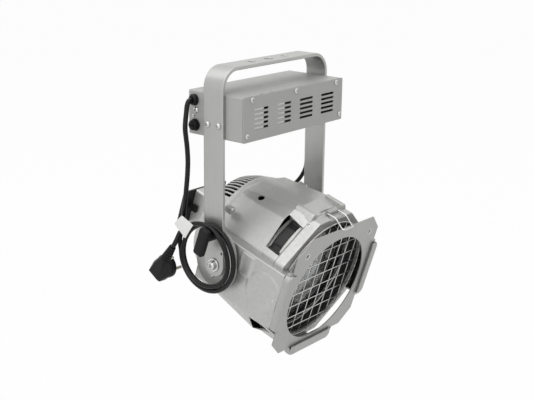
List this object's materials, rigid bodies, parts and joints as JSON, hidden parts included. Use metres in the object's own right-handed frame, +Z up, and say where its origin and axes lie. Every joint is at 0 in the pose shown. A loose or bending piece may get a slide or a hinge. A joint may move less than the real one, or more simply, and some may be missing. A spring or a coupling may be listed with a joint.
{
  "type": "multi-lens spotlight",
  "caption": "Yoke-hung spotlight: tilting lamp head with rotating lens, wire guard and colour frame, ballast box between the yoke legs, mains lead coiled on the lever.",
  "frame": {"origin": "middle of the yoke bar's top face, on the axis of its centre hole", "axes": "+Z up, X across along the tilt axis with the mains lead at -X, the beam leaves towards -Y and 17.3 degrees down"},
  "size_m": [0.2904, 0.2872, 0.4192],
  "materials": {
    "satin_aluminium": "satin, extruded flat bar and sheet",
    "polished_casting": "tumbled die casting, half gloss",
    "grey_paint": "silver-grey powder coat",
    "zinc_steel": "zinc plated",
    "bright_aluminium": "polished reflector, mirror bright",
    "black_plastic": "matt black moulding",
    "black_rubber": "black flexible sheath, slight sheen",
    "white_paper": "white paper flag, matt",
    "white_ceramic": "glazed white ceramic",
    "clear_glass": "clear glass",
    "nickel_brass": "nickel plated"
  },
  "bodies": {
    "yoke": {"ballast_case": "grey_paint", "ballast_cover": "grey_paint", "ballast_module": "black_plastic", "cable_gland": "black_plastic", "cord_tag": "white_paper", "cover_screw_1": "zinc_steel", "cover_screw_2": "zinc_steel", "cover_screw_3": "zinc_steel", "cover_screw_4": "zinc_steel", "cover_screw_5": "zinc_steel", "earth_screw": "zinc_steel", "fuse": "clear_glass", "fuse_holder": "black_plastic", "lamp_gland": "black_plastic", "lamp_lead": "black_rubber", "leg_screw_left_front": "zinc_steel", "leg_screw_left_rear": "zinc_steel", "leg_screw_right_front": "zinc_steel", "leg_screw_right_rear": "zinc_steel", "mains_coil": "black_rubber", "mains_lead": "black_rubber", "module_bracket": "zinc_steel", "pivot_bolt_left": "zinc_steel", "pivot_bolt_right": "zinc_steel", "pivot_bush_left": "zinc_steel", "pivot_bush_right": "zinc_steel", "pivot_plate_left": "satin_aluminium", "pivot_plate_right": "satin_aluminium", "pivot_washer_left": "zinc_steel", "pivot_washer_right": "zinc_steel", "plug": "black_rubber", "plug_pin_front": "nickel_brass", "plug_pin_rear": "nickel_brass", "plug_tail": "black_rubber", "terminal_block": "white_ceramic", "tilt_stud": "zinc_steel", "yoke_bar": "satin_aluminium"},
    "head": {"lamp_housing": "polished_casting", "vented_dome": "polished_casting", "reflector": "bright_aluminium", "wire_guard": "zinc_steel", "frame_gutter_left": "satin_aluminium", "frame_gutter_right": "satin_aluminium", "frame_gutter_bottom": "satin_aluminium", "retainer_block": "satin_aluminium", "colour_frame": "satin_aluminium"},
    "lamp_cap": {"lamp_base_housing": "polished_casting", "back_plate": "black_plastic", "lamp_holder": "white_ceramic", "lamp": "clear_glass", "lead_entry": "black_rubber"},
    "cap_latch": {"cap_latch": "black_plastic"},
    "lens_unit": {"lens_ring": "black_plastic", "lens": "clear_glass", "lens_clip": "zinc_steel"},
    "frame_retainer": {"frame_retainer": "zinc_steel"},
    "fuse_cap": {"fuse_cap": "black_plastic"},
    "tilt_lever": {"tilt_lever": "black_plastic"}
  },
  "joints": [
    {"name": "head_tilt", "type": "hinge", "parent": "yoke", "child": "head", "pos_m": [0, 0, -0.2786], "axis": [1, 0, 0], "range_deg": [-27.3, 72.7], "deforming": ["lamp_lead"]},
    {"name": "lens_turn", "type": "hinge", "parent": "head", "child": "lens_unit", "pos_m": [0, 0, -0.2786], "axis": [0, -0.9548, -0.2974], "continuous": true},
    {"name": "retainer_swing", "type": "hinge", "parent": "head", "child": "frame_retainer", "pos_m": [0.005, -0.11417, -0.2046], "axis": [-1, 0, 0], "range_deg": [0, 100]},
    {"name": "cap_draw", "type": "slide", "parent": "head", "child": "lamp_cap", "axis": [0, 0.9548, 0.2974], "range_m": [0, 0.035], "deforming": ["lamp_lead"]},
    {"name": "latch_slide", "type": "slide", "parent": "lamp_cap", "child": "cap_latch", "axis": [0, -0.9548, -0.2974], "range_m": [0, 0.005]},
    {"name": "fuse_cap_turn", "type": "hinge", "parent": "yoke", "child": "fuse_cap", "pos_m": [-0.1117, 0.0372, -0.0832], "axis": [-1, 0, 0], "range_deg": [0, 90]},
    {"name": "tilt_lever_turn", "type": "hinge", "parent": "yoke", "child": "tilt_lever", "pos_m": [-0.117, 0, -0.2323], "axis": [1, 0, 0], "range_deg": [-90, 30]}
  ]
}
